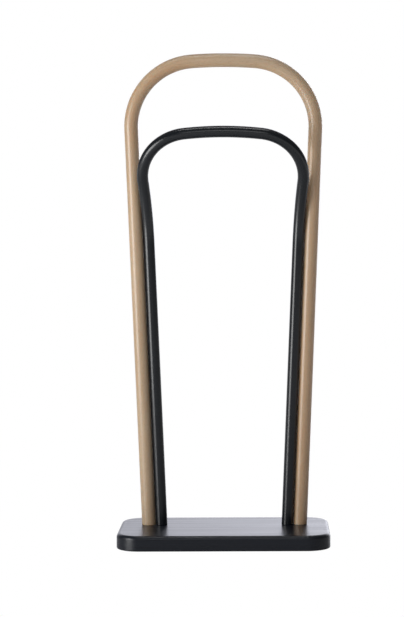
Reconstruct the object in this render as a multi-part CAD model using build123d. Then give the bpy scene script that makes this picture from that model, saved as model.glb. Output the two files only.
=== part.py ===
from build123d import *
import os
from math import asin, atan2, cos, degrees, hypot, pi, radians, sin, sqrt, tan

# Valet stand: two bentwood hoops bolted to a black lacquered base board.
# Millimetres. +Z is up, -Y is the front, the origin is on the floor under the middle of the board.

# Base board
base_width = 450.0
base_depth = 250.0
base_thickness = 32.0
base_corner_radius = 50.0
base_top_edge_radius = 8.0
base_bottom_edge_radius = 3.0
outer_foot_setback = 29.0  # how far the outer legs stand behind the middle of the board

# Outer hoop, natural beech, upright
stand_height = 1052.0  # floor to the top of the outer hoop
outer_rod = 30.0
outer_shoulder_width = 428.0  # over the rod at its widest
outer_foot_spacing = 326.0  # between the middles of the two legs on the board
outer_crown_radius = 940.0  # slight arch of the top bar, on the rod's middle
outer_bend_radius = 141.0

# Inner hoop, stained black, its legs along those of the outer one and its top bent forward
inner_height = 892.0  # floor to the top of the inner hoop
inner_rod = 25.0
inner_crown_radius = 695.0
inner_bend_radius = 102.0
inner_forward = 27.0  # degrees that the top is bent towards the front
inner_outward = 3.6  # degrees that the same curve takes each side outwards
inner_curve_radius = 300.0  # of that curve, between leg and shoulder bend
inner_foot_forward = 4.0  # how far the inner legs stand in front of the outer ones
leg_gap = 0.3  # between the neighbouring legs of the two hoops

# Leg fixings: a bolt from below into a threaded insert in the end of each leg
bolt_diameter = 6.0
bolt_length = 40.0
bolt_head_diameter = 10.0
bolt_head_height = 6.0
bolt_socket_width = 5.0
bolt_socket_depth = 3.0
bolt_tip_chamfer = 0.8
bolt_hole_clearance = 0.3  # around the bolt in the board
counterbore_depth = 10.0
counterbore_clearance = 1.0  # around the washer
washer_diameter = 18.0
washer_thickness = 1.6
washer_hole_clearance = 0.2
insert_diameter = 10.0
insert_length = 20.0
insert_sink = 0.5  # how far the insert lies inside the leg's end
insert_wood_fit = 0.05
insert_thread_fit = 0.05
insert_groove_count = 5
insert_groove_depth = 0.8
insert_groove_width = 1.2
insert_slot_width = 1.5
insert_slot_depth = 2.0
leg_bore_spare = 2.0  # least depth of the leg's bore past the bolt's tip

# Glides: a moulded cup in a recess near each corner, a wood screw through it and a felt disc in it
glide_inset = 35.0  # from the board's edges to the middle of a glide
glide_diameter = 26.0
glide_wall = 1.5
glide_floor = 2.0
glide_rim_depth = 3.0
glide_stand_proud = 1.0  # how far the cup reaches below the board
glide_recess_fit = 0.3
felt_thickness = 5.0
felt_fit = 0.2
felt_edge_chamfer = 0.6
screw_diameter = 3.5
screw_length = 16.0
screw_head_diameter = 6.5
screw_tip_length = 4.0
screw_tip_diameter = 0.6
screw_fit = 0.05
screw_cross_width = 1.0
screw_cross_length = 3.6
screw_cross_depth = 1.0
screw_pilot_spare = 1.0  # depth of the pilot hole past the screw's tip

# Heights that follow from the sizes above
cup_floor_bottom = felt_thickness
cup_top = cup_floor_bottom + glide_floor
cup_rim_bottom = cup_floor_bottom - glide_rim_depth
base_bottom = cup_rim_bottom + glide_stand_proud
base_top = base_bottom + base_thickness
washer_top = base_bottom + counterbore_depth
washer_bottom = washer_top - washer_thickness
insert_bottom = base_top + insert_sink
insert_top = insert_bottom + insert_length
bolt_tip = washer_bottom + bolt_length
leg_bore_top = max(insert_top, bolt_tip + leg_bore_spare)

# Places that follow from the sizes above
leg_distance = (outer_rod + inner_rod) / 2 + leg_gap
inner_foot_spacing = outer_foot_spacing - 2 * sqrt(leg_distance**2 - inner_foot_forward**2)
inner_foot_setback = outer_foot_setback - inner_foot_forward
glide_x = base_width / 2 - glide_inset
glide_y = base_depth / 2 - glide_inset

SIDES = (("left", -1), ("right", 1))
ENDS = (("front", -1), ("rear", 1))
HOOP_FEET = (
    ("outer", outer_foot_spacing / 2, outer_foot_setback),
    ("inner", inner_foot_spacing / 2, inner_foot_setback),
)
SETTLE_ROUNDS = 12  # rounds that settle the width of a hoop at its shoulder bends


def upright_cylinder(diameter, bottom, top):
    """A cylinder on the Z axis from one height to another."""
    height = top - bottom
    solid = Cylinder(diameter / 2, height, align=(Align.CENTER, Align.CENTER, Align.MIN))
    return Pos(0, 0, bottom) * solid


def upright_box(length, width, height):
    """A box that stands on the origin."""
    return Box(length, width, height, align=(Align.CENTER, Align.CENTER, Align.MIN))


def upright_cone(bottom_diameter, top_diameter, height):
    """A cone that stands on the origin."""
    return Cone(bottom_diameter / 2, top_diameter / 2, height, align=(Align.CENTER, Align.CENTER, Align.MIN))


def leg_spots():
    """The name and the place of each leg on the board."""
    for hoop_name, half_spacing, setback in HOOP_FEET:
        for side_name, side in SIDES:
            yield f"{hoop_name}_{side_name}", Pos(side * half_spacing, setback, 0)


def glide_spots():
    """The name and the place of each glide under the board."""
    for end_name, end in ENDS:
        for side_name, side in SIDES:
            yield f"{end_name}_{side_name}", Pos(side * glide_x, end * glide_y, 0)


def arc_through(centre, radius, start, end):
    """An arc in the hoop's plane, with its angles measured from straight up towards +X."""
    angles = (start, (start + end) / 2, end)
    points = [(centre[0] + radius * sin(a), 0, centre[1] + radius * cos(a)) for a in angles]
    return ThreePointArc(*points)


def mirrored(edge):
    """The same edge on the other side of the hoop."""
    return edge.mirror(Plane.YZ)


def crown_end(bend_x, crown_radius, bend_radius):
    """The angle where the top bar meets a shoulder bend, and the bar's rise over the middle of that bend."""
    reach = crown_radius - bend_radius
    angle = asin(bend_x / reach)
    return angle, crown_radius - reach * cos(angle)


def leg_tilt():
    """The tilt of all four legs.

    The outer legs run straight from their feet into the shoulder bends. The inner legs are parallel to them.
    """
    bend_x = (outer_shoulder_width - outer_rod) / 2 - outer_bend_radius
    _, crown_rise = crown_end(bend_x, outer_crown_radius, outer_bend_radius)
    bend_height = stand_height - outer_rod / 2 - crown_rise - base_top
    bend_offset = bend_x - outer_foot_spacing / 2
    return atan2(bend_offset, bend_height) + asin(outer_bend_radius / hypot(bend_offset, bend_height))


def hoop_path(top, half_foot, tilt, crown_radius, bend_radius, forward, outward, curve_radius, spare):
    """The middle line of a hoop that stands on the X axis, with spare length below its feet.

    The top bar is a shallow arc and the two shoulder bends are tangent to it, in a plane that leans forward.
    Below each bend a wide curve turns the rod back and in to its straight leg. Repeated substitution finds
    the place of the bends.
    """
    upper_tilt = tilt + outward
    leg = Vector(sin(tilt), 0, cos(tilt))
    upper = Vector(sin(upper_tilt), -sin(forward) * cos(upper_tilt), cos(forward) * cos(upper_tilt))
    curve = (leg + upper) * curve_radius * tan(radians(leg.get_angle(upper)) / 2)
    bend_rise = bend_radius * sin(upper_tilt)
    bend_x = half_foot
    for _ in range(SETTLE_ROUNDS):
        crown_angle, crown_rise = crown_end(bend_x, crown_radius, bend_radius)
        shoulder_z = top - (bend_rise + crown_rise) * cos(forward)
        shoulder_x = half_foot + (shoulder_z - curve.Z) * tan(tilt) + curve.X
        bend_x = shoulder_x - bend_radius * cos(upper_tilt)

    shoulder = Vector(shoulder_x, curve.Y, shoulder_z)
    leg_top = shoulder - curve
    leaned = Pos(0, shoulder.Y, shoulder.Z) * Rot(degrees(forward), 0, 0)
    crown_centre = (0, bend_rise + crown_rise - crown_radius)
    crown = leaned * arc_through(crown_centre, crown_radius, -crown_angle, crown_angle)
    half = [leaned * arc_through((bend_x, bend_rise), bend_radius, crown_angle, pi / 2 + upper_tilt)]
    if curve_radius > 0:
        half.append(TangentArc(leg_top, shoulder, tangent=leg))
    half.append(Line(leg_top, Vector(half_foot, 0, 0) - leg * spare))
    return Wire([mirrored(edge) for edge in reversed(half)] + [crown] + half)


def bent_hoop(rod, height, foot_spacing, foot_setback, **bends):
    """A round rod bent to a hoop and cut flat where it stands on the board."""
    top = height - rod / 2 - base_top
    path = hoop_path(top, foot_spacing / 2, leg_tilt(), spare=rod, **bends)
    section = Plane(origin=path @ 0, z_dir=path % 0) * Circle(rod / 2)
    placed = Pos(0, foot_setback, base_top) * sweep(section, path=path)
    hoop = split(placed, bisect_by=Plane.XY.offset(base_top), keep=Keep.TOP)
    bore = upright_cylinder(insert_diameter + 2 * insert_wood_fit, base_top, leg_bore_top)
    for _, side in SIDES:
        hoop -= Pos(side * foot_spacing / 2, foot_setback, 0) * bore
    return hoop


def outer_hoop():
    """The tall upright hoop that takes the jacket."""
    return bent_hoop(
        outer_rod,
        stand_height,
        outer_foot_spacing,
        outer_foot_setback,
        crown_radius=outer_crown_radius,
        bend_radius=outer_bend_radius,
        forward=0,
        outward=0,
        curve_radius=0,
    )


def inner_hoop():
    """The lower hoop between its legs, which takes the trousers on its forward bar."""
    return bent_hoop(
        inner_rod,
        inner_height,
        inner_foot_spacing,
        inner_foot_setback,
        crown_radius=inner_crown_radius,
        bend_radius=inner_bend_radius,
        forward=radians(inner_forward),
        outward=radians(inner_outward),
        curve_radius=inner_curve_radius,
    )


def base_board():
    """The board, with bolt holes and glide recesses cut from below."""
    outline = RectangleRounded(base_width, base_depth, base_corner_radius)
    board = Pos(0, 0, base_bottom) * extrude(outline, base_thickness)
    board = fillet(board.faces().sort_by(Axis.Z)[-1].edges(), base_top_edge_radius)
    board = fillet(board.faces().sort_by(Axis.Z)[0].edges(), base_bottom_edge_radius)
    bolt_hole = upright_cylinder(bolt_diameter + 2 * bolt_hole_clearance, base_bottom, base_top)
    bolt_hole += upright_cylinder(washer_diameter + 2 * counterbore_clearance, base_bottom, washer_top)
    for _, spot in leg_spots():
        board -= spot * bolt_hole
    pilot_top = cup_floor_bottom + screw_length + screw_pilot_spare
    recess = upright_cylinder(glide_diameter + 2 * glide_recess_fit, base_bottom, cup_top)
    recess += upright_cylinder(screw_diameter + 2 * screw_fit, base_bottom, pilot_top)
    for _, spot in glide_spots():
        board -= spot * recess
    return board


def leg_insert():
    """A threaded insert: a grooved sleeve with a driver slot across its lower end."""
    sleeve = upright_cylinder(insert_diameter, insert_bottom, insert_top)
    sleeve -= upright_cylinder(bolt_diameter + 2 * insert_thread_fit, insert_bottom, insert_top)
    pitch = (insert_length - insert_slot_depth) / (insert_groove_count + 1)
    for index in range(insert_groove_count):
        groove_middle = insert_bottom + insert_slot_depth + (index + 1) * pitch
        groove_bottom = groove_middle - insert_groove_width / 2
        groove_top = groove_middle + insert_groove_width / 2
        groove = upright_cylinder(insert_diameter, groove_bottom, groove_top)
        groove -= upright_cylinder(insert_diameter - 2 * insert_groove_depth, groove_bottom, groove_top)
        sleeve -= groove
    slot = upright_box(insert_diameter, insert_slot_width, insert_slot_depth)
    return sleeve - Pos(0, 0, insert_bottom) * slot


def leg_washer():
    """A wide flat washer against the roof of the counterbore."""
    disc = upright_cylinder(washer_diameter, washer_bottom, washer_top)
    return disc - upright_cylinder(bolt_diameter + 2 * washer_hole_clearance, washer_bottom, washer_top)


def leg_bolt():
    """A socket head bolt, head down."""
    head_bottom = washer_bottom - bolt_head_height
    bolt = upright_cylinder(bolt_diameter, washer_bottom, bolt_tip)
    bolt = chamfer(bolt.edges().sort_by(Axis.Z)[-1], bolt_tip_chamfer)
    bolt += upright_cylinder(bolt_head_diameter, head_bottom, washer_bottom)
    socket = extrude(RegularPolygon(bolt_socket_width / 2, 6, major_radius=False), bolt_socket_depth)
    return bolt - Pos(0, 0, head_bottom) * socket


def screw_countersink(head_diameter, shank_diameter):
    """The cone under a flat screw head, from the cup's floor upwards."""
    height = (head_diameter - shank_diameter) / 2
    return Pos(0, 0, cup_floor_bottom) * upright_cone(head_diameter, shank_diameter, height)


def glide_cup():
    """A moulded cup, open downwards, with a countersunk hole in its floor."""
    cup = upright_cylinder(glide_diameter, cup_rim_bottom, cup_top)
    cup -= upright_cylinder(glide_diameter - 2 * glide_wall, cup_rim_bottom, cup_floor_bottom)
    cup -= upright_cylinder(screw_diameter + 2 * screw_fit, cup_floor_bottom, cup_top)
    return cup - screw_countersink(screw_head_diameter + 2 * screw_fit, screw_diameter + 2 * screw_fit)


def glide_screw():
    """A flat head wood screw, point up, flush with the cup's floor."""
    tip_bottom = cup_floor_bottom + screw_length - screw_tip_length
    screw = upright_cylinder(screw_diameter, cup_floor_bottom, tip_bottom)
    screw += screw_countersink(screw_head_diameter, screw_diameter)
    screw += Pos(0, 0, tip_bottom) * upright_cone(screw_diameter, screw_tip_diameter, screw_tip_length)
    bar = upright_box(screw_cross_length, screw_cross_width, screw_cross_depth)
    cross = bar + Rot(0, 0, 90) * bar
    return screw - Pos(0, 0, cup_floor_bottom) * cross


def glide_felt():
    """The felt disc that stands on the floor."""
    disc = upright_cylinder(glide_diameter - 2 * glide_wall - 2 * felt_fit, 0, felt_thickness)
    return chamfer(disc.edges().sort_by(Axis.Z)[0], felt_edge_chamfer)


def all_nodes():
    """Every piece by its name, in its place."""
    nodes = {"base_board": base_board(), "outer_hoop": outer_hoop(), "inner_hoop": inner_hoop()}
    for name, spot in leg_spots():
        nodes[f"{name}_insert"] = spot * leg_insert()
        nodes[f"{name}_washer"] = spot * leg_washer()
        nodes[f"{name}_bolt"] = spot * leg_bolt()
    for name, spot in glide_spots():
        nodes[f"{name}_glide"] = spot * glide_cup()
        nodes[f"{name}_glide_screw"] = spot * glide_screw()
        nodes[f"{name}_felt"] = spot * glide_felt()
    return nodes


os.makedirs("parts", exist_ok=True)
for node_name, piece in all_nodes().items():
    export_step(piece, f"parts/{node_name}.step")
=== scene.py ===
"""The looks of a valet stand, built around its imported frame.

Two bentwood hoops stand on a black lacquered board: a tall one of natural beech, and a lower one, stained
black, whose top is bent towards the front. Sizes are in metres. +Z is up, -Y is the front, and the origin is
on the floor under the middle of the board.
"""

import logging
import math
from dataclasses import dataclass
from enum import Enum, IntEnum
from typing import Any

import bmesh
import bpy
from mathutils import Matrix, Vector


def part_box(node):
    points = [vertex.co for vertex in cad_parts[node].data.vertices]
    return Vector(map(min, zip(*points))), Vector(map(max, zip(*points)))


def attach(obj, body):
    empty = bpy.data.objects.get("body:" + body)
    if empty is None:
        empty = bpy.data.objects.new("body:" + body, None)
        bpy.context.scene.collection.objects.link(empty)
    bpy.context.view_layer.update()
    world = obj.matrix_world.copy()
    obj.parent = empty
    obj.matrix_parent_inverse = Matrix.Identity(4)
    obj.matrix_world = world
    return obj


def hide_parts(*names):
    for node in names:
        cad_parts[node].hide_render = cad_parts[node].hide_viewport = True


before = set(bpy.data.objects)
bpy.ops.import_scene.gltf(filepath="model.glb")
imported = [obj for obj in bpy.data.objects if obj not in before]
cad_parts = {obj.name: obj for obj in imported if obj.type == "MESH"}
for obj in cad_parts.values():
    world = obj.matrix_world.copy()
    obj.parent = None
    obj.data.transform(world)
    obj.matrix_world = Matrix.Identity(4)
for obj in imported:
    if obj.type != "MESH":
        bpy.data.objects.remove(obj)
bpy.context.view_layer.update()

log = logging.getLogger("valet_stand")

Colour = tuple[float, float, float, float]
Point = tuple[float, float, float]
Pair = tuple[float, float]
Inputs = dict[str | int, Any]
Rows = list[list[bmesh.types.BMVert]]

BODY = "root"
STRAIGHT = "straight"  # where a point of a bent rod lay while the rod was straight
SHARP_EDGE = math.radians(32)
WHITE: Colour = (1.0, 1.0, 1.0, 1.0)


class Side(Enum):
    """The two sides of the stand, seen from the front."""

    LEFT = -1
    RIGHT = 1

    @property
    def word(self) -> str:
        """The word for this side in the names of pieces."""
        return self.name.lower()


class End(Enum):
    """The two long edges of the board, front and back."""

    FRONT = -1
    REAR = 1

    @property
    def word(self) -> str:
        """The word for this edge in the names of pieces."""
        return self.name.lower()


class Sock:
    """One output socket, with arithmetic that adds Math nodes to its tree."""

    def __init__(self, tree: "Tree", socket: bpy.types.NodeSocket) -> None:
        """Wraps a socket of a tree."""
        self.tree = tree
        self.socket = socket

    def also(self, output: str) -> "Sock":
        """Another output of the same node."""
        return Sock(self.tree, self.socket.node.outputs[output])

    def math(self, operation: str, *values: Any) -> "Sock":
        """A Math node on the given values."""
        return self.tree.node("ShaderNodeMath", {"operation": operation}, dict(enumerate(values)))

    def __add__(self, other: Any) -> "Sock":
        """This value plus another."""
        return self.math("ADD", self, other)

    def __radd__(self, other: Any) -> "Sock":
        """Another value plus this."""
        return self.math("ADD", other, self)

    def __sub__(self, other: Any) -> "Sock":
        """This value less another."""
        return self.math("SUBTRACT", self, other)

    def __rsub__(self, other: Any) -> "Sock":
        """Another value less this."""
        return self.math("SUBTRACT", other, self)

    def __mul__(self, other: Any) -> "Sock":
        """This value times another."""
        return self.math("MULTIPLY", self, other)

    def __rmul__(self, other: Any) -> "Sock":
        """Another value times this."""
        return self.math("MULTIPLY", other, self)

    def __truediv__(self, other: Any) -> "Sock":
        """This value by another."""
        return self.math("DIVIDE", self, other)

    def __rtruediv__(self, other: Any) -> "Sock":
        """Another value by this."""
        return self.math("DIVIDE", other, self)

    def __pow__(self, other: Any) -> "Sock":
        """This value raised to a power."""
        return self.math("POWER", self, other)

    def __rpow__(self, other: Any) -> "Sock":
        """Another value raised to this power."""
        return self.math("POWER", other, self)

    def __lt__(self, other: Any) -> "Sock":
        """1 where this value is below another, else 0."""
        return self.math("LESS_THAN", self, other)

    def __gt__(self, other: Any) -> "Sock":
        """1 where this value is above another, else 0; the reflected form of below."""
        return self.math("GREATER_THAN", self, other)

    def __abs__(self) -> "Sock":
        """This value without its sign."""
        return self.math("ABSOLUTE", self)

    def sign(self) -> "Sock":
        """-1, 0 or 1."""
        return self.math("SIGN", self)

    def fraction(self) -> "Sock":
        """What is left of this value over a whole number."""
        return self.math("FRACT", self)

    def sin(self) -> "Sock":
        """The sine of this angle."""
        return self.math("SINE", self)

    def cos(self) -> "Sock":
        """The cosine of this angle."""
        return self.math("COSINE", self)

    def root(self) -> "Sock":
        """The square root."""
        return self.math("SQRT", self)

    def least(self, other: Any) -> "Sock":
        """The smaller of this value and another."""
        return self.math("MINIMUM", self, other)

    def most(self, other: Any) -> "Sock":
        """The larger of this value and another."""
        return self.math("MAXIMUM", self, other)

    def within(self, low: Any, high: Any) -> "Sock":
        """This value held between two limits."""
        return self.most(low).least(high)

    def ramp(self, low: float, high: float) -> "Sock":
        """0 below low, 1 above high, and a smooth rise between them; low may be the larger."""
        inputs = {"Value": self, "From Min": low, "From Max": high}
        return self.tree.node("ShaderNodeMapRange", {"interpolation_type": "SMOOTHSTEP"}, inputs)


@dataclass(frozen=True)
class Relief:
    """How deep the bumps of a finish are, and how strongly they show."""

    depth: float
    strength: float


class Tree:
    """A node tree under construction: a material, the world or a mesh."""

    def __init__(self, tree: bpy.types.NodeTree) -> None:
        """Takes over a tree and empties it."""
        self.tree = tree
        tree.nodes.clear()

    def node(
        self,
        kind: str,
        settings: dict[str, Any] | None = None,
        inputs: Inputs | None = None,
        output: str | int = 0,
    ) -> Sock | None:
        """Adds one node.

        Args:
            kind: the node's type.
            settings: its properties, set before anything else.
            inputs: a value or a Sock for each input, by name or number.
            output: the output that is wanted.

        Returns:
            That output, or None for a node without outputs.
        """
        made = self.tree.nodes.new(kind)
        for name, value in (settings or {}).items():
            setattr(made, name, value)
        for key, value in (inputs or {}).items():
            if isinstance(value, Sock):
                self.tree.links.new(value.socket, made.inputs[key])
            else:
                made.inputs[key].default_value = value
        return Sock(self, made.outputs[output]) if made.outputs else None

    def place(self) -> Sock:
        """Where a point of a piece lies in the stand's frame."""
        return self.node("ShaderNodeTexCoord", {}, {}, "Object")

    def seen(self) -> Sock:
        """1 for what the camera sees straight away, 0 for light and mirror images."""
        return self.node("ShaderNodeLightPath", {}, {}, "Is Camera Ray")

    def mix(self, share: Any, first: Any, second: Any) -> Sock:
        """A colour between two others."""
        return self.node("ShaderNodeMix", {"data_type": "RGBA"}, {0: share, 6: first, 7: second}, 2)

    def vector(self, operation: str, first: Any, second: Any) -> Sock:
        """A Vector Math node on two vectors."""
        return self.node("ShaderNodeVectorMath", {"operation": operation}, {0: first, 1: second})

    def scaled(self, vector: Any, factor: Any) -> Sock:
        """A vector made longer by a factor."""
        return self.node("ShaderNodeVectorMath", {"operation": "SCALE"}, {0: vector, "Scale": factor})

    def joined(self, x: Any, y: Any, z: Any) -> Sock:
        """A vector from its three parts."""
        return self.node("ShaderNodeCombineXYZ", {}, {0: x, 1: y, 2: z})

    def parts(self, vector: Any) -> tuple[Sock, Sock, Sock]:
        """The three parts of a vector."""
        first = self.node("ShaderNodeSeparateXYZ", {}, {0: vector}, "X")
        return first, first.also("Y"), first.also("Z")

    def noise(self, vector: Any, scale: Point, detail: float = 2.0, roughness: float = 0.5) -> Sock:
        """Adds cloudy noise.

        Args:
            vector: where the noise is read.
            scale: a scale for each part of the vector.
            detail: how many finer noises lie on the first one.
            roughness: how strong these are.

        Returns:
            The noise, between 0 and 1.
        """
        grown = self.vector("MULTIPLY", vector, scale)
        inputs = {"Vector": grown, "Scale": 1.0, "Detail": detail, "Roughness": roughness}
        return self.node("ShaderNodeTexNoise", {}, inputs)

    def bump(self, height: Any, relief: Relief) -> Sock:
        """A normal that follows a height."""
        inputs = {"Height": height, "Distance": relief.depth, "Strength": relief.strength}
        return self.node("ShaderNodeBump", {}, inputs, "Normal")


@dataclass(frozen=True)
class WoodFigure:
    """How the grain of one piece of timber lies around its length.

    The grain vector holds two parts across the timber and a third along it.
    """

    pith: Pair = (0.052, -0.088)
    ring_spacing: float = 0.0026
    ring_drift: float = 0.0045  # how far the rings wander out per metre of length
    ring_wave: float = 0.0016
    ring_wave_scale: Point = (38.0, 38.0, 3.1)
    late_start: Pair = (0.15, 0.86)  # share of a year in which the late wood sets in
    late_end: Pair = (1.0, 0.9)
    fibre_width: float = 0.00045
    fibre_length: float = 0.030
    streak_width: float = 9.0  # times a fibre's width
    streak_length: float = 7.0  # times a fibre's length
    fleck_width: float = 0.0011  # 0 for a wood without flecks
    fleck_length: float = 0.0058
    fleck_edge: Pair = (0.42, 0.2)
    fleck_chance: Pair = (0.35, 0.6)
    cloud_width: float = 0.050
    cloud_length: float = 0.42

    @staticmethod
    def scale(width: float, length: float) -> Point:
        """The scale of a pattern of this width across the timber and this length along it."""
        return 1 / width, 1 / width, 1 / length

    def rings(self, tree: Tree, grain: Sock) -> Sock:
        """Draws the darker late wood of each year's ring.

        Args:
            tree: the material's node tree.
            grain: the grain vector.

        Returns:
            The late wood, 0 to 1.
        """
        across, over, along = tree.parts(grain)
        wave = tree.noise(grain, self.ring_wave_scale) - 0.5
        reach = ((across - self.pith[0]) ** 2.0 + (over - self.pith[1]) ** 2.0).root()
        years = (reach + along * self.ring_drift + wave * (2 * self.ring_wave)) / self.ring_spacing
        year = years.fraction()
        return year.ramp(*self.late_start) * year.ramp(*self.late_end)

    def fibres(self, tree: Tree, grain: Sock) -> Sock:
        """Fine streaks along the timber, 0 to 1."""
        scale = self.scale(self.fibre_width, self.fibre_length)
        return tree.noise(grain, scale, detail=3.0, roughness=0.6)

    def streaks(self, tree: Tree, grain: Sock) -> Sock:
        """Broader bands of tone along the timber, 0 to 1."""
        scale = self.scale(self.fibre_width * self.streak_width, self.fibre_length * self.streak_length)
        return tree.noise(grain, scale, roughness=0.55)

    def flecks(self, tree: Tree, grain: Sock) -> Sock:
        """Draws the short spindles of the wood's rays.

        Args:
            tree: the material's node tree.
            grain: the grain vector.

        Returns:
            The flecks, 0 to 1.
        """
        grown = tree.vector("MULTIPLY", grain, self.scale(self.fleck_width, self.fleck_length))
        inputs = {"Vector": grown, "Scale": 1.0, "Randomness": 1.0}
        near = tree.node("ShaderNodeTexVoronoi", {"feature": "F1"}, inputs, "Distance")
        chance = tree.node("ShaderNodeSeparateColor", {}, {0: near.also("Color")})
        return near.ramp(*self.fleck_edge) * chance.ramp(*self.fleck_chance)

    def clouds(self, tree: Tree, grain: Sock) -> Sock:
        """Slow changes of tone, 0 to 1."""
        return tree.noise(grain, self.scale(self.cloud_width, self.cloud_length), detail=1.0)

    def marks(self, tree: Tree, grain: Sock) -> dict[str, Sock]:
        """Draws the marks that the wood has.

        Args:
            tree: the material's node tree.
            grain: the grain vector.

        Returns:
            The marks by name: rings and flecks from 0 to 1, fibres and streaks to both sides of 0.
        """
        marks = {
            "rings": self.rings(tree, grain),
            "fibres": self.fibres(tree, grain) - 0.5,
            "streaks": self.streaks(tree, grain) - 0.5,
        }
        if self.fleck_width > 0:
            marks["flecks"] = self.flecks(tree, grain)
        return marks


@dataclass(frozen=True)
class Shares:
    """How much each mark of a wood's figure counts in a value."""

    ground: float = 0.0  # the value without any marks
    rings: float = 0.0
    fibres: float = 0.0
    streaks: float = 0.0
    flecks: float = 0.0

    def total(self, marks: dict[str, Sock]) -> Sock:
        """The value, with the marks by name."""
        shares = {name: getattr(self, name) for name in marks}
        return sum((marks[name] * share for name, share in shares.items() if share), self.ground)


@dataclass(frozen=True)
class Finish:
    """One surface finish, for a material slot of the record."""

    slot: str

    def surface(self, tree: Tree) -> Inputs:
        """The shader's inputs, by name."""
        raise NotImplementedError

    def material(self) -> bpy.types.Material:
        """Mixes the finish.

        Returns:
            A new material.
        """
        made = bpy.data.materials.new(f"{self.slot}_finish")
        made.use_nodes = True
        tree = Tree(made.node_tree)
        shader = tree.node("ShaderNodeBsdfPrincipled", {}, self.surface(tree), "BSDF")
        tree.node("ShaderNodeOutputMaterial", {}, {"Surface": shader})
        return made


@dataclass(frozen=True)
class Timber(Finish):
    """Wood, whose tone, gloss and relief all follow its figure."""

    figure: WoodFigure
    early: Colour
    late: Colour
    tone: Shares  # 0 for the early wood's colour, 1 for the late wood's
    roughness: Shares
    height: Shares
    relief: Relief
    ior: float

    def grain(self, tree: Tree) -> Sock:
        """The grain of a bent rod, as it lay before bending."""
        return tree.node("ShaderNodeAttribute", {"attribute_name": STRAIGHT}, {}, "Vector")

    def colour(self, tree: Tree, grain: Sock, marks: dict[str, Sock]) -> Sock:
        """The wood's colour, from its grain vector and its marks."""
        return tree.mix(self.tone.total(marks).within(0.0, 1.0), self.early, self.late)

    def surface(self, tree: Tree) -> Inputs:
        """Lays out the wood.

        Args:
            tree: the material's node tree.

        Returns:
            The shader's inputs, by name.
        """
        grain = self.grain(tree)
        marks = self.figure.marks(tree, grain)
        return {
            "Base Color": self.colour(tree, grain, marks),
            "Roughness": self.roughness.total(marks),
            "IOR": self.ior,
            "Normal": tree.bump(self.height.total(marks), self.relief),
        }


@dataclass(frozen=True)
class NaturalBeech(Timber):
    """Clear satin beech, warmer in tone inside the steamed bends, partly as painted warm shade, and down its
    right leg.
    """

    figure: WoodFigure = WoodFigure()
    early: Colour = (0.495, 0.371, 0.244, 1.0)
    late: Colour = (0.404, 0.288, 0.178, 1.0)
    tone: Shares = Shares(0.22, rings=0.45, fibres=0.7, streaks=1.0)
    roughness: Shares = Shares(0.35, fibres=0.10, flecks=0.06)
    height: Shares = Shares(fibres=0.7, flecks=-0.5)
    relief: Relief = Relief(0.00008, 0.4)
    ior: float = 1.6
    warm: Colour = (0.455, 0.287, 0.158, 1.0)
    fleck: Colour = (0.300, 0.192, 0.108, 1.0)
    fleck_share: float = 0.55
    cloud_range: Pair = (0.35, 0.75)
    cloud_warmth: float = 0.25
    # the warmer inside of each bend is partly the steamed wood's own colour and partly painted warm shade
    bend_warmth: float = 0.65
    bend_start: Pair = (0.03, 0.12)  # along the rod from its middle
    bend_end: Pair = (0.365, 0.285)
    bend_side: Pair = (0.008, -0.004)  # from the outside of the bend to its inside
    leg_warmth: float = 0.55
    leg_range: Pair = (0.1, 0.6)  # along the rod from its middle to the right
    glow: float = 0.5  # share of the light that spreads inside the wood
    glow_colour: Point = (1.0, 0.6, 0.4)
    glow_depth: float = 0.008

    def colour(self, tree: Tree, grain: Sock, marks: dict[str, Sock]) -> Sock:
        """Tints the wood, with painted warm shade mixed into the steamed colour inside the bends.

        Args:
            tree: the material's node tree.
            grain: the grain vector.
            marks: the marks of the wood's figure, by name.

        Returns:
            The wood's colour.
        """
        wood = super().colour(tree, grain, marks)
        _, out, along = tree.parts(grain)
        # painted warm shade: the inside of each bend is tinted warmer and darker, on top of the steamed
        # wood's own colour
        steamed_and_shaded = abs(along).ramp(*self.bend_start) * abs(along).ramp(*self.bend_end)
        steamed_and_shaded = steamed_and_shaded * out.ramp(*self.bend_side)
        clouds = self.figure.clouds(tree, grain).ramp(*self.cloud_range)
        warmth = clouds * (self.cloud_warmth + steamed_and_shaded * self.bend_warmth)
        warmth = warmth + along.ramp(*self.leg_range) * self.leg_warmth
        wood = tree.mix(warmth.within(0.0, 1.0), wood, self.warm)
        return tree.mix(marks["flecks"] * self.fleck_share, wood, self.fleck)

    def surface(self, tree: Tree) -> Inputs:
        """Lays out the wood.

        Args:
            tree: the material's node tree.

        Returns:
            The shader's inputs, by name.
        """
        return super().surface(tree) | {
            "Subsurface Weight": self.glow,
            "Subsurface Radius": self.glow_colour,
            "Subsurface Scale": self.glow_depth,
        }


@dataclass(frozen=True)
class BlackStainedBeech(Timber):
    """Beech stained blue-black under a satin varnish."""

    figure: WoodFigure = WoodFigure(pith=(-0.041, 0.075))
    early: Colour = (0.0016, 0.0026, 0.0041, 1.0)
    late: Colour = (0.0040, 0.0060, 0.0088, 1.0)
    tone: Shares = Shares(0.35, rings=0.30, fibres=0.8, streaks=0.8)
    roughness: Shares = Shares(0.24, fibres=0.06, flecks=0.04)
    height: Shares = Shares(fibres=0.7, flecks=-0.3)
    relief: Relief = Relief(0.00004, 0.25)
    ior: float = 1.46


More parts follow.
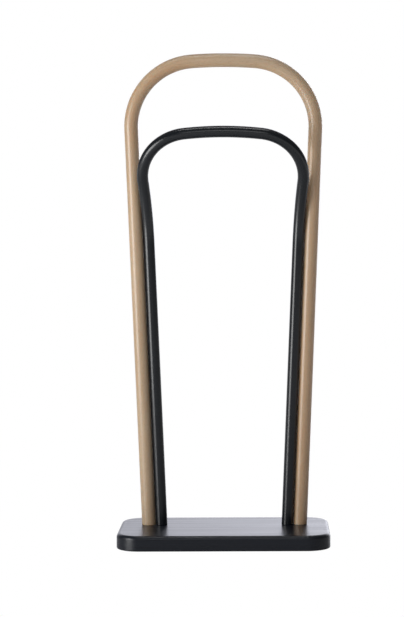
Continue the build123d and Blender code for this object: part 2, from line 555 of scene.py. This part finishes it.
@dataclass(frozen=True)
class BlackLacquer(Timber):
    """Black lacquer over an open grained board."""

    figure: WoodFigure = WoodFigure(
        pith=(0.020, -0.160),
        ring_spacing=0.0042,
        ring_wave=0.003,
        fibre_length=0.055,
        fleck_width=0.0,
    )
    early: Colour = (0.0016, 0.0028, 0.0058, 1.0)
    late: Colour = (0.0050, 0.0076, 0.0138, 1.0)
    tone: Shares = Shares(0.30, rings=0.35, fibres=1.0, streaks=1.0)
    roughness: Shares = Shares(0.33, fibres=0.10, streaks=0.26)
    height: Shares = Shares(fibres=0.1, streaks=0.9)
    relief: Relief = Relief(0.00045, 0.5)
    ior: float = 1.42

    def grain(self, tree: Tree) -> Sock:
        """The grain of the board, which runs along its width."""
        along, across, over = tree.parts(tree.place())
        return tree.joined(across, over, along)


@dataclass(frozen=True)
class PlatedMetal(Finish):
    """Turned or plated metal, with fine tool marks and a cloudy sheen."""

    bright: Colour
    dull: Colour
    roughness: float
    cloud_scale: Point = (420.0, 420.0, 420.0)
    cloud_range: Pair = (0.3, 0.7)
    cloud_roughness: float = 0.22
    mark_scale: Point = (900.0, 900.0, 5200.0)
    relief: Relief = Relief(0.00004, 0.4)

    def surface(self, tree: Tree) -> Inputs:
        """Lays out the metal.

        Args:
            tree: the material's node tree.

        Returns:
            The shader's inputs, by name.
        """
        place = tree.place()
        clouds = tree.noise(place, self.cloud_scale, detail=3.0)
        marks = tree.noise(place, self.mark_scale)
        return {
            "Base Color": tree.mix(clouds.ramp(*self.cloud_range), self.bright, self.dull),
            "Metallic": 1.0,
            "Roughness": self.roughness + (clouds - 0.5) * self.cloud_roughness,
            "Normal": tree.bump(marks, self.relief),
        }


@dataclass(frozen=True)
class MouldedPlastic(Finish):
    """Black moulded plastic with a fine spark-eroded texture."""

    dark: Colour = (0.018, 0.018, 0.019, 1.0)
    light: Colour = (0.034, 0.034, 0.036, 1.0)
    cloud_scale: Point = (160.0, 160.0, 160.0)
    cloud_share: float = 0.6
    grit_scale: Point = (2600.0, 2600.0, 2600.0)
    grit_share: float = 0.3
    grit_roughness: float = 0.18
    roughness: float = 0.48
    relief: Relief = Relief(0.00008, 0.5)

    def surface(self, tree: Tree) -> Inputs:
        """Lays out the plastic.

        Args:
            tree: the material's node tree.

        Returns:
            The shader's inputs, by name.
        """
        place = tree.place()
        grit = tree.noise(place, self.grit_scale)
        clouds = tree.noise(place, self.cloud_scale)
        tone = clouds * self.cloud_share + grit * self.grit_share
        return {
            "Base Color": tree.mix(tone, self.dark, self.light),
            "Roughness": self.roughness + grit * self.grit_roughness,
            "Normal": tree.bump(grit, self.relief),
        }


@dataclass(frozen=True)
class PressedFelt(Finish):
    """Charcoal pressed felt, with pale stray fibres."""

    dark: Colour = (0.045, 0.045, 0.048, 1.0)
    light: Colour = (0.125, 0.124, 0.126, 1.0)
    stray: Colour = (0.310, 0.305, 0.300, 1.0)
    wad_scale: Point = (520.0, 520.0, 520.0)
    wad_range: Pair = (0.3, 0.7)
    wad_roughness: float = 0.1
    wad_height: float = 0.6
    hair_scale: Point = (1500.0, 600.0, 900.0)
    hair_range: Pair = (0.012, 0.003)
    hair_share: float = 0.6
    hair_height: float = 0.4
    roughness: float = 0.88
    specular: float = 0.2
    relief: Relief = Relief(0.0004, 0.8)

    def surface(self, tree: Tree) -> Inputs:
        """Lays out the felt.

        Args:
            tree: the material's node tree.

        Returns:
            The shader's inputs, by name.
        """
        place = tree.place()
        wad = tree.noise(place, self.wad_scale, detail=4.0, roughness=0.7)
        bent = tree.noise(place, self.hair_scale, detail=3.0, roughness=0.6)
        hair = abs(bent - 0.5).ramp(*self.hair_range)
        felt = tree.mix(wad.ramp(*self.wad_range), self.dark, self.light)
        return {
            "Base Color": tree.mix(hair * self.hair_share, felt, self.stray),
            "Roughness": self.roughness + wad * self.wad_roughness,
            "Specular IOR Level": self.specular,
            "Normal": tree.bump(wad * self.wad_height + hair * self.hair_height, self.relief),
        }


def middle_of(node: str) -> Vector:
    """The middle of one of the frame's nodes."""
    low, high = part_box(node)
    return (low + high) / 2


def quarter_turn(steps: int) -> list[float]:
    """Angles from 0 to a right angle, in equal steps."""
    return [step / steps * math.pi / 2 for step in range(steps + 1)]


def in_scene(name: str, data: bpy.types.ID) -> bpy.types.Object:
    """Puts a mesh, a lamp or a camera in the scene.

    Args:
        name: the name of its object.
        data: what the object holds.

    Returns:
        The new object.
    """
    made = bpy.data.objects.new(name, data)
    bpy.context.scene.collection.objects.link(made)
    return made


def finished(mesh: bpy.types.Mesh, name: str, nodes: list[str]) -> bpy.types.Object:
    """Puts a mesh in the scene as a piece of the stand.

    Args:
        mesh: the piece's mesh, in its place.
        name: the piece's name.
        nodes: the frame's nodes that it stands for.

    Returns:
        The new object, riding on the stand's body.
    """
    mesh.name = name
    piece = in_scene(name, mesh)
    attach(piece, BODY)
    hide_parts(*nodes)
    log.info("%s: %d faces, stands for %s", name, len(mesh.polygons), ", ".join(nodes))
    return piece


def skin(work: bmesh.types.BMesh, rows: Rows) -> None:
    """Joins neighbouring rows of vertices with faces.

    Args:
        work: the mesh under work.
        rows: the closed rows, in order; one of a single vertex makes a fan.
    """
    for low, high in zip(rows, rows[1:]):
        steps = max(len(low), len(high))
        for index in range(steps):
            corners = ((low, index), (low, index + 1), (high, index + 1), (high, index))
            ring = [row[step % len(row)] for row, step in corners]
            work.faces.new(list(dict.fromkeys(ring)))


def mesh_of(work: bmesh.types.BMesh, name: str) -> bpy.types.Mesh:
    """Ends the work on a mesh.

    Args:
        work: the mesh under work, which is given up.
        name: the name of the new mesh.

    Returns:
        The new mesh.
    """
    mesh = bpy.data.meshes.new(name)
    work.to_mesh(mesh)
    work.free()
    return mesh


def turned_out(mesh: bpy.types.Mesh) -> None:
    """Points the faces of a closed mesh outwards, and makes it smooth but for its sharp edges.

    Args:
        mesh: the mesh, which is changed.
    """
    work = bmesh.new()
    work.from_mesh(mesh)
    bmesh.ops.recalc_face_normals(work, faces=work.faces)
    for face in work.faces:
        face.smooth = True
    work.to_mesh(mesh)
    work.free()
    mesh.set_sharp_from_angle(angle=SHARP_EDGE)


def settled(holder: bpy.types.Object) -> bpy.types.Mesh:
    """Makes a plain mesh of what an object's modifiers make.

    Args:
        holder: the object, which is removed.

    Returns:
        The mesh.
    """
    graph = bpy.context.evaluated_depsgraph_get()
    shape = holder.evaluated_get(graph)
    mesh = bpy.data.meshes.new_from_object(shape, preserve_all_data_layers=True, depsgraph=graph)
    holder.modifiers.clear()
    bpy.data.objects.remove(holder)
    return mesh


class Walk:
    """Points along a line of arcs and straight runs, each going on from where the last one ended."""

    def __init__(self, start: Vector, heading: Vector, pitch: float) -> None:
        """Starts a line.

        Args:
            start: its first point.
            heading: the way it goes at first.
            pitch: the most that two neighbouring points lie apart.
        """
        self.points = [start]
        self.heading = heading
        self.pitch = pitch

    def arc(self, radius: float, angle: float, towards: Vector) -> None:
        """Goes round an arc.

        Args:
            radius: the arc's radius.
            angle: how far the line turns.
            towards: the way that it turns to.
        """
        start, ahead = self.points[-1], self.heading
        inward = (towards - ahead * ahead.dot(towards)).normalized()
        steps = math.ceil(radius * angle / self.pitch)
        for step in range(1, steps + 1):
            turn = angle * step / steps
            self.points.append(start + radius * (math.sin(turn) * ahead + (1 - math.cos(turn)) * inward))
        self.heading = math.cos(angle) * ahead + math.sin(angle) * inward

    def run(self, length: float) -> None:
        """Goes straight on.

        Args:
            length: how far.
        """
        start = self.points[-1]
        steps = math.ceil(length / self.pitch)
        self.points += [start + self.heading * (length * step / steps) for step in range(1, steps + 1)]


class FootRow(IntEnum):
    """The rows of a rod's grid that make a foot, from the middle of the bore's roof to the rod's side."""

    ROOF_MIDDLE = 0
    ROOF_RIM = 1
    MOUTH = 2
    FACE_RIM = 3
    EDGE = 4

    def and_before(self, row: Sock) -> Sock:
        """1 for this row and the ones before it, else 0."""
        return row < self + 0.5


class BentRod:
    """The node tree that wraps a round rod about a hoop's middle line.

    A grid of rings and sides is laid along the line from foot to foot. Each foot ends in a flat face with
    an eased edge and the bore of its insert, level with the board.
    """

    SIZES = ("Rod radius", "Edge", "Bore radius", "Bore depth")
    COUNTS = ("Rings", "Sides")
    SQUARE_LENGTH = 0.06  # over which the rings turn from square with the leg to level with the board
    MERGE_DISTANCE = 1e-5

    def __init__(self) -> None:
        """Builds the tree."""
        self.group = bpy.data.node_groups.new("bent_rod", "GeometryNodeTree")
        self.keys: dict[str, str] = {}
        kinds = {"Line": "NodeSocketGeometry"} | {name: "NodeSocketFloat" for name in self.SIZES}
        kinds |= {name: "NodeSocketInt" for name in self.COUNTS} | {"Material": "NodeSocketMaterial"}
        for name, kind in kinds.items():
            socket = self.group.interface.new_socket(name=name, in_out="INPUT", socket_type=kind)
            self.keys[name] = socket.identifier
        self.group.interface.new_socket(name="Rod", in_out="OUTPUT", socket_type="NodeSocketGeometry")
        self._wire()

    def _wire(self) -> None:
        """Adds the nodes."""
        tree = Tree(self.group)
        line = tree.node("NodeGroupInput", {}, {}, "Line")
        size = {name: line.also(name) for name in self.keys}
        line = tree.node("GeometryNodeMeshToCurve", {}, {"Mesh": line})
        length = tree.node("GeometryNodeCurveLength", {}, {"Curve": line})
        counts = {"Size X": 1.0, "Size Y": 1.0, "Vertices X": size["Rings"], "Vertices Y": size["Sides"]}
        grid = tree.node("GeometryNodeMeshGrid", {}, counts, "Mesh")
        lengthwise, around, _ = tree.parts(tree.node("GeometryNodeInputPosition"))
        side = lengthwise.sign()
        middle = (size["Rings"] - 1.0) * 0.5
        row = middle * (1.0 - abs(lengthwise) * 2.0)
        edge_row = float(FootRow.EDGE)
        from_foot = ((row - edge_row) / (middle - edge_row)).within(0.0, 1.0)
        from_middle = side * (0.5 - from_foot * 0.5)
        turn = (around + 0.5) * (2 * math.pi)

        at = {"Curves": line, "Factor": from_middle + 0.5}
        place = tree.node("GeometryNodeSampleCurve", {"mode": "FACTOR"}, at, "Position")
        ahead, sideways = place.also("Tangent"), place.also("Normal")
        outward = tree.vector("CROSS_PRODUCT", ahead, sideways)
        radius, rise = self._foot(row, size)
        wide, deep = radius * turn.cos(), radius * turn.sin()
        offset = tree.vector("ADD", tree.scaled(sideways, wide), tree.scaled(outward, deep))
        level = (1.0 - from_foot * length * 0.5 / self.SQUARE_LENGTH).within(0.0, 1.0)
        slip = level * tree.parts(offset)[2] / tree.parts(ahead)[2]
        offset = tree.vector("SUBTRACT", offset, tree.scaled(ahead, slip))
        offset = tree.vector("ADD", offset, tree.joined(0.0, 0.0, rise))

        before = tree.joined(wide, deep, from_middle * length)
        stored = {"Geometry": grid, "Name": STRAIGHT, "Value": before}
        settings = {"data_type": "FLOAT_VECTOR", "domain": "POINT"}
        rod = tree.node("GeometryNodeStoreNamedAttribute", settings, stored)
        moved = {"Geometry": rod, "Position": place, "Offset": offset}
        rod = tree.node("GeometryNodeSetPosition", {}, moved)
        merged = {"Geometry": rod, "Distance": self.MERGE_DISTANCE}
        rod = tree.node("GeometryNodeMergeByDistance", {}, merged)
        rod = tree.node("GeometryNodeRealizeInstances", {}, {"Geometry": rod})
        rod = tree.node("GeometryNodeSetMaterial", {}, {"Geometry": rod, "Material": size["Material"]})
        tree.node("NodeGroupOutput", {}, {0: rod})

    def _foot(self, row: Sock, size: dict[str, Sock]) -> tuple[Sock, Sock]:
        """The shape of a foot, row by row.

        Args:
            row: the row's number, from the end of the leg.
            size: the tree's named inputs.

        Returns:
            The radius of the row's ring, and its height over the board.
        """
        roof, bore, mouth, face, edge = (part.and_before(row) for part in FootRow)
        face_width = size["Rod radius"] - size["Edge"] - size["Bore radius"]
        radius = size["Rod radius"] - face * size["Edge"] - mouth * face_width
        radius = radius - roof * size["Bore radius"]
        rise = bore * size["Bore depth"] + (edge - face) * size["Edge"]
        return radius, rise

    def wrap(
        self, line: list[Vector], sizes: dict[str, float], material: bpy.types.Material, name: str
    ) -> bpy.types.Mesh:
        """Makes one rod.

        Args:
            line: points along the rod's middle, from foot to foot.
            sizes: a value for each named size and count.
            material: what the rod is finished with.
            name: the name of the piece.

        Returns:
            The hoop's closed mesh, in its place.
        """
        mesh = bpy.data.meshes.new(name)
        mesh.from_pydata(line, [(index, index + 1) for index in range(len(line) - 1)], [])
        holder = in_scene(name, mesh)
        modifier = holder.modifiers.new("wrap", "NODES")
        modifier.node_group = self.group
        for key, value in sizes.items():
            modifier[self.keys[key]] = value
        modifier[self.keys["Material"]] = material
        rod = settled(holder)
        turned_out(rod)
        return rod


@dataclass
class Hoop:
    """A round rod bent to a hoop, standing on the board with two legs."""

    name: str
    finish: Finish
    rod: float
    height: float  # floor to the top of the hoop
    foot: Vector  # the middle of the right foot, on the board
    crown_radius: float
    bend_radius: float
    shoulder_width: float = 0.0  # over the rod at its widest, of a hoop whose legs follow no other
    legs_along: "Hoop | None" = None  # the hoop whose legs these ones are parallel to
    forward: float = 0.0  # angle that the top is bent towards the front
    outward: float = 0.0  # angle that the same curve takes each side outwards
    curve_radius: float = 0.0
    bore_diameter: float = 0.0101
    bore_depth: float = 0.0205
    edge: float = 0.0006
    line_pitch: float = 0.002
    ring_pitch: float = 0.0042
    sides: int = 48
    settle_rounds: int = 12

    def crown_end(self, bend_x: float) -> Pair:
        """Finds where the top bar ends.

        Args:
            bend_x: how far out the middle of a shoulder bend lies.

        Returns:
            The angle at which the bar meets that bend, and the bar's rise over the middle of the bend.
        """
        reach = self.crown_radius - self.bend_radius
        angle = math.asin(bend_x / reach)
        return angle, self.crown_radius - reach * math.cos(angle)

    def tilt(self) -> float:
        """Finds how far the legs spread: straight into the bends, or along another hoop's legs.

        Returns:
            The angle of a leg from upright.
        """
        if self.legs_along:
            return self.legs_along.tilt()
        bend_x = (self.shoulder_width - self.rod) / 2 - self.bend_radius
        _, crown_rise = self.crown_end(bend_x)
        bend = Vector((bend_x - self.foot.x, self.height - self.rod / 2 - crown_rise - self.foot.z))
        return math.atan2(bend.x, bend.y) + math.asin(self.bend_radius / bend.length)

    def middle_line(self) -> list[Vector]:
        """Draws the middle of the rod.

        The top bar and the shoulder bends lie in a plane that leans forward. Below each bend a wide curve
        turns the rod back and in to its straight leg. Repeated substitution finds the place of the bends.

        Returns:
            Points along it, from foot to foot.
        """
        tilt = self.tilt()
        upper_tilt = tilt + self.outward
        lean = Matrix.Rotation(self.forward, 3, "X")
        leg = Vector((math.sin(tilt), 0.0, math.cos(tilt)))
        upper = lean @ Vector((math.sin(upper_tilt), 0.0, math.cos(upper_tilt)))
        turn = leg.angle(upper)
        curve = (leg + upper) * (self.curve_radius * math.tan(turn / 2))
        top = self.height - self.rod / 2
        bend_x = self.foot.x
        for _ in range(self.settle_rounds):
            crown_angle, crown_rise = self.crown_end(bend_x)
            rise = lean @ Vector((0.0, 0.0, self.bend_radius * math.sin(upper_tilt) + crown_rise))
            leg_height = top - rise.z - curve.z - self.foot.z
            shoulder_x = self.foot.x + leg_height * math.tan(tilt) + curve.x
            bend_x = shoulder_x - self.bend_radius * math.cos(upper_tilt)
        start = Vector((0.0, self.foot.y + curve.y + rise.y, top))
        down = lean @ Vector((0.0, 0.0, -1.0))
        walk = Walk(start, Vector((1.0, 0.0, 0.0)), self.line_pitch)
        walk.arc(self.crown_radius, crown_angle, down)
        walk.arc(self.bend_radius, math.pi / 2 + upper_tilt - crown_angle, down)
        if self.curve_radius > 0:
            walk.arc(self.curve_radius, turn, -leg)
        walk.run(leg_height / math.cos(tilt))
        other = [Vector((-point.x, point.y, point.z)) for point in reversed(walk.points[1:])]
        return other + walk.points

    def build(self, wrapper: BentRod) -> bpy.types.Object:
        """Bends the rod and puts it in its place.

        Args:
            wrapper: the tree that wraps a rod about a line.

        Returns:
            The finished piece.
        """
        line = self.middle_line()
        length = sum((after - before).length for before, after in zip(line, line[1:]))
        sizes = {
            "Rod radius": self.rod / 2,
            "Edge": self.edge,
            "Bore radius": self.bore_diameter / 2,
            "Bore depth": self.bore_depth,
            "Rings": 2 * round(length / 2 / self.ring_pitch) + 1,
            "Sides": self.sides + 1,
        }
        mesh = wrapper.wrap(line, sizes, self.finish.material(), self.name)
        return finished(mesh, f"{self.name}_bentwood", [self.name])


@dataclass(frozen=True)
class SteppedHole:
    """A hole in the underside of the board, wide at first and then narrow."""

    wide: float  # diameter
    wide_top: float  # height of the step
    narrow: float
    top: float  # height of the narrow part's end

    def rows(self, bottom: float) -> list[Pair]:
        """The radius and height of each row of its wall, from the bottom up."""
        wide, narrow = self.wide / 2, self.narrow / 2
        return [(wide, bottom), (wide, self.wide_top), (narrow, self.wide_top), (narrow, self.top)]


@dataclass
class BaseBoard:
    """The lacquered board, with bolt holes and glide recesses from below."""

    finish: Finish
    low: Vector  # the lowest corner of the board's box
    high: Vector  # its highest corner
    leg_places: list[Vector]
    glide_places: list[Vector]
    bolt_hole: SteppedHole
    glide_recess: SteppedHole
    corner_radius: float = 0.050
    top_edge: float = 0.008
    bottom_edge: float = 0.003
    corner_steps: int = 20
    edge_steps: int = 8
    hole_steps: int = 40
    face_weight: int = 100  # percent; the large flat faces set the shading where they meet the rounded edge

    def outline(self, inset: float) -> list[Pair]:
        """Draws the board's outline.

        Args:
            inset: how far it is drawn in.

        Returns:
            Its points, in order.
        """
        points = []
        for quarter, (along, across) in enumerate(((1, 1), (-1, 1), (-1, -1), (1, -1))):
            x = along * (self.high.x - self.corner_radius)
            y = across * (self.high.y - self.corner_radius)
            for step in range(self.corner_steps + 1):
                angle = (quarter + step / self.corner_steps) * math.pi / 2
                radius = self.corner_radius - inset
                points.append((x + radius * math.cos(angle), y + radius * math.sin(angle)))
        return points

    def edge_profile(self) -> list[Pair]:
        """Draws the section of the board's edge.

        Returns:
            The inset and height of each row, from the bottom up.
        """
        rows = []
        for angle in quarter_turn(self.edge_steps):
            rise = self.bottom_edge * (1 - math.cos(angle))
            rows.append((self.bottom_edge * (1 - math.sin(angle)), self.low.z + rise))
        for angle in quarter_turn(self.edge_steps):
            drop = self.top_edge * (1 - math.sin(angle))
            rows.append((self.top_edge * (1 - math.cos(angle)), self.high.z - drop))
        return rows

    def bore(self, work: bmesh.types.BMesh, place: Vector, hole: SteppedHole) -> Rows:
        """Makes the walls of a stepped hole.

        Args:
            work: the mesh under work.
            place: the hole's middle.
            hole: its sizes.

        Returns:
            The rows of vertices.
        """
        rows = []
        for radius, height in hole.rows(self.low.z):
            row = []
            for step in range(self.hole_steps):
                turn = 2 * math.pi * step / self.hole_steps
                x, y = place.x + radius * math.cos(turn), place.y + radius * math.sin(turn)
                row.append(work.verts.new((x, y, height)))
            rows.append(row)
        skin(work, rows)
        return rows

    def cap(self, work: bmesh.types.BMesh, rims: Rows) -> None:
        """Fills the flat face between an outline and the rims of its holes.

        Args:
            work: the mesh under work.
            rims: the outline and the rims.
        """
        edges = []
        for rim in rims:
            edges += [work.edges.get((rim[index - 1], rim[index])) for index in range(len(rim))]
        bmesh.ops.triangle_fill(work, use_beauty=True, edges=edges)

    def build(self) -> bpy.types.Object:
        """Makes the board's mesh and puts it in its place.

        Returns:
            The finished piece.
        """
        work = bmesh.new()
        rows = []
        for inset, height in self.edge_profile():
            rows.append([work.verts.new((x, y, height)) for x, y in self.outline(inset)])
        skin(work, rows)
        bottom, top = [rows[0]], [rows[-1]]
        for place in self.leg_places:
            wall = self.bore(work, place, self.bolt_hole)
            bottom.append(wall[0])
            top.append(wall[-1])
        for place in self.glide_places:
            wall = self.bore(work, place, self.glide_recess)
            bottom.append(wall[0])
            work.faces.new(wall[-1])
        self.cap(work, bottom)
        self.cap(work, top)
        mesh = mesh_of(work, "base_board")
        turned_out(mesh)
        holder = in_scene("base_board", mesh)
        weigher = holder.modifiers.new("even", "WEIGHTED_NORMAL")
        weigher.keep_sharp = True
        weigher.weight = self.face_weight
        mesh = settled(holder)
        mesh.materials.append(self.finish.material())
        return finished(mesh, "base_board_lacquered", ["base_board"])


@dataclass
class FeltDisc:
    """The pressed felt under one glide, on which the stand rests."""

    finish: Finish
    name: str
    place: Vector
    radius: float = 0.0113
    thickness: float = 0.005
    foot_edge: float = 0.0009
    top_edge: float = 0.0004
    foot_rows: Point = (0.0, 0.45, 0.78)  # shares of the radius
    top_rows: Pair = (0.5, 0.0)
    edge_steps: int = 5
    steps: int = 56
    ragged: float = 0.006  # share of the radius by which the cut edge wavers
    waves: tuple[int, int] = (7, 17)  # two wavers round the edge, one times the other
    wave_climb: float = 900.0  # how fast the first one shifts with height
    wave_start: float = 2.1  # where the second one begins

    def profile(self) -> list[Pair]:
        """Draws the disc's section.

        Returns:
            The radius and height of each row, from the middle of the foot round to the middle of the top.
        """
        rows = [(self.radius * share, 0.0) for share in self.foot_rows]
        for angle in quarter_turn(self.edge_steps):
            height = self.foot_edge * (1 - math.cos(angle))
            rows.append((self.radius - self.foot_edge * (1 - math.sin(angle)), height))
        for angle in quarter_turn(self.edge_steps):
            height = self.thickness - self.top_edge * (1 - math.sin(angle))
            rows.append((self.radius - self.top_edge * (1 - math.cos(angle)), height))
        return rows + [(self.radius * share, self.thickness) for share in self.top_rows]

    def build(self, material: bpy.types.Material) -> bpy.types.Object:
        """Makes the disc.

        Args:
            material: the felt.

        Returns:
            The finished piece.
        """
        work = bmesh.new()
        rows = []
        for radius, height in self.profile():
            row = []
            for step in range(self.steps if radius > 0 else 1):
                turn = 2 * math.pi * step / self.steps
                waver = math.sin(self.waves[0] * turn + self.wave_climb * height)
                waver *= math.sin(self.waves[1] * turn + self.wave_start)
                reach = radius * (1 - self.ragged * (1 + waver))
                x, y = self.place.x + math.cos(turn) * reach, self.place.y + math.sin(turn) * reach
                row.append(work.verts.new((x, y, height)))
            rows.append(row)
        skin(work, rows)
        mesh = mesh_of(work, self.name)
        turned_out(mesh)
        mesh.materials.append(material)
        return finished(mesh, f"{self.name}_pad", [self.name])


@dataclass
class Hardware:
    """The bolts, washers, inserts, glides and screws, whose shapes come from the frame."""

    legs: list[str]
    corners: list[str]
    zinc: Finish
    brass: Finish
    plastic: Finish

    def dress(self) -> None:
        """Gives every carried-over node its finish."""
        plans = [
            (self.zinc, [f"{leg}_{piece}" for leg in self.legs for piece in ("bolt", "washer")]),
            (self.zinc, [f"{corner}_glide_screw" for corner in self.corners]),
            (self.brass, [f"{leg}_insert" for leg in self.legs]),
            (self.plastic, [f"{corner}_glide" for corner in self.corners]),
        ]
        for finish, names in plans:
            material = finish.material()
            for name in names:
                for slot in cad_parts[name].material_slots:
                    slot.material = material
            log.info("%s: %s", finish.slot, ", ".join(names))


@dataclass(frozen=True)
class Softbox:
    """One rectangular studio lamp."""

    name: str
    place: Point
    aim: Point
    size: Pair
    radiance: float

    def build(self) -> None:
        """Hangs the lamp."""
        lamp = bpy.data.lights.new(self.name, "AREA")
        lamp.shape = "RECTANGLE"
        lamp.size, lamp.size_y = self.size
        lamp.energy = self.radiance * math.pi * self.size[0] * self.size[1]
        ahead = Vector(self.aim) - Vector(self.place)
        holder = in_scene(self.name, lamp)
        holder.location = self.place
        holder.rotation_euler = ahead.to_track_quat("-Z", "Y").to_euler()
        holder.visible_camera = False


@dataclass
class Studio:
    """The pale floor, the soft light and the camera."""

    floor_radius: float = 3.0
    floor_sides: int = 96
    floor_fade: Pair = (0.35, 0.95)  # shares of the radius over which the floor fades out
    floor_colour: Colour = (0.88, 0.88, 0.88, 1.0)
    floor_roughness: float = 0.3
    paper_left: Colour = (1.10, 1.11, 1.24, 1.0)  # the bright backdrop, brighter to the right
    paper_right: Colour = (3.00, 3.04, 3.36, 1.0)
    paper_change: Pair = (-0.3, 0.3)  # this and the edges below are ranges of one part of a ray's direction
    paper_edge: Pair = (0.65, 0.90)
    wall: Colour = (0.15, 0.15, 0.16, 1.0)
    ceiling: Colour = (0.25, 0.25, 0.26, 1.0)
    ceiling_edge: Pair = (0.45, 0.75)
    far_floor: Colour = (0.82, 0.82, 0.83, 1.0)
    far_floor_edge: Pair = (0.02, -0.1)
    softboxes: tuple[Softbox, ...] = (
        Softbox("key", place=(-2.12, -1.52, 0.64), aim=(0.0, 0.0, 0.67), size=(1.35, 1.25), radiance=9.1),
        Softbox("overhead", place=(0.0, -0.3, 2.9), aim=(0.0, -0.3, 0.0), size=(1.4, 0.32), radiance=8.6),
        Softbox("front", place=(0.1, -4.2, 2.2), aim=(0.0, 0.0, 0.85), size=(2.0, 1.4), radiance=2.2),
    )
    image: tuple[int, int] = (404, 617)
    eye: Point = (0.091, -4.119, 0.723)
    roll: float = math.radians(0.19)  # clockwise, seen from behind the camera
    focal_pixels: float = 1920.4
    level_pixel: Pair = (265.66, 205.38)  # the point of the picture straight ahead of the camera
    sensor_width: float = 36.0  # millimetres
    sight: float = 60.0  # how far the camera sees

    def clear(self) -> None:
        """Takes away what a new file starts with."""
        for name in ("Cube", "Light", "Camera"):
            if name in bpy.data.objects:
                bpy.data.objects.remove(bpy.data.objects[name])

    def floor(self) -> None:
        """Lays a pale round floor that fades into the white of the room at its rim."""
        work = bmesh.new()
        bmesh.ops.create_circle(work, cap_ends=True, segments=self.floor_sides, radius=self.floor_radius)
        mesh = mesh_of(work, "floor")
        paint = bpy.data.materials.new("pale_floor")
        paint.use_nodes = True
        tree = Tree(paint.node_tree)
        x, y, _ = tree.parts(tree.place())
        near, rim = (self.floor_radius * share for share in self.floor_fade)
        far = (x * x + y * y).root().ramp(near, rim)
        pale = {"Base Color": self.floor_colour, "Roughness": self.floor_roughness}
        pale = tree.node("ShaderNodeBsdfPrincipled", {}, pale)
        white = tree.node("ShaderNodeEmission", {}, {"Color": WHITE, "Strength": 1.0})
        both = tree.node("ShaderNodeMixShader", {}, {0: tree.seen(), 1: pale, 2: white})
        gone = tree.node("ShaderNodeBsdfTransparent")
        both = tree.node("ShaderNodeMixShader", {}, {0: far, 1: both, 2: gone})
        tree.node("ShaderNodeOutputMaterial", {}, {"Surface": both})
        mesh.materials.append(paint)
        in_scene("floor", mesh)

    def room(self) -> None:
        """Sets up a room that is bright behind the stand, dim in front, and white to the camera."""
        world = bpy.data.worlds.new("room")
        bpy.context.scene.world = world
        world.use_nodes = True
        tree = Tree(world.node_tree)
        x, y, z = tree.parts(tree.node("ShaderNodeTexCoord", {}, {}, "Generated"))
        paper = tree.mix(x.ramp(*self.paper_change), self.paper_left, self.paper_right)
        room = tree.mix(y.ramp(*self.paper_edge), self.wall, paper)
        room = tree.mix(z.ramp(*self.ceiling_edge), room, self.ceiling)
        room = tree.mix(z.ramp(*self.far_floor_edge), room, self.far_floor)
        room = tree.mix(tree.seen(), room, WHITE)
        light = tree.node("ShaderNodeBackground", {}, {"Color": room, "Strength": 1.0})
        tree.node("ShaderNodeOutputWorld", {}, {"Surface": light})

    def camera(self) -> None:
        """Sets up the camera, at the photograph's place and level."""
        width, height = self.image
        lens = bpy.data.cameras.new("camera")
        lens.sensor_width = self.sensor_width
        lens.lens = self.focal_pixels * self.sensor_width / height
        lens.shift_x = (width / 2 - self.level_pixel[0]) / height
        lens.shift_y = (self.level_pixel[1] - height / 2) / height
        lens.clip_end = self.sight
        holder = in_scene("camera", lens)
        holder.location = self.eye
        holder.rotation_euler = (math.pi / 2, self.roll, 0.0)
        bpy.context.scene.camera = holder

    def build(self) -> None:
        """Sets up the whole studio."""
        self.clear()
        self.floor()
        self.room()
        for softbox in self.softboxes:
            softbox.build()
        self.camera()
        bpy.context.scene.view_settings.view_transform = "Standard"


def main() -> None:
    """Builds the stand, piece by piece."""
    logging.basicConfig(level=logging.INFO, format="%(name)s %(message)s")
    Studio().build()
    low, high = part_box("base_board")
    legs = [f"{hoop}_{side.word}" for hoop in ("outer", "inner") for side in Side]
    corners = [f"{end.word}_{side.word}" for end in End for side in Side]
    leg_places = {leg: middle_of(f"{leg}_bolt") for leg in legs}
    glide_places = {corner: middle_of(f"{corner}_glide") for corner in corners}
    outer = Hoop(
        name="outer_hoop",
        finish=NaturalBeech("natural_beech"),
        rod=0.030,
        height=1.052,
        foot=Vector((*leg_places["outer_right"].xy, high.z)),
        crown_radius=0.940,
        bend_radius=0.141,
        shoulder_width=0.428,
    )
    inner = Hoop(
        name="inner_hoop",
        finish=BlackStainedBeech("black_stained_beech"),
        rod=0.025,
        height=0.892,
        foot=Vector((*leg_places["inner_right"].xy, high.z)),
        crown_radius=0.695,
        bend_radius=0.102,
        legs_along=outer,
        forward=math.radians(27),
        outward=math.radians(3.6),
        curve_radius=0.300,
    )
    wrapper = BentRod()
    for hoop in (outer, inner):
        hoop.build(wrapper)
    BaseBoard(
        finish=BlackLacquer("black_lacquer"),
        low=low,
        high=high,
        leg_places=list(leg_places.values()),
        glide_places=list(glide_places.values()),
        bolt_hole=SteppedHole(wide=0.020, wide_top=0.013, narrow=0.0066, top=high.z),
        glide_recess=SteppedHole(wide=0.0266, wide_top=0.007, narrow=0.0036, top=0.022),
    ).build()
    felt = PressedFelt("felt")
    wool = felt.material()
    for corner, place in glide_places.items():
        FeltDisc(felt, f"{corner}_felt", place).build(wool)
    Hardware(
        legs=legs,
        corners=corners,
        zinc=PlatedMetal(
            "zinc_steel", bright=(0.66, 0.67, 0.69, 1.0), dull=(0.52, 0.53, 0.55, 1.0), roughness=0.34
        ),
        brass=PlatedMetal(
            "insert_brass", bright=(0.76, 0.56, 0.28, 1.0), dull=(0.62, 0.44, 0.20, 1.0), roughness=0.30
        ),
        plastic=MouldedPlastic("glide_plastic"),
    ).dress()


if __name__ == "__main__":
    main()
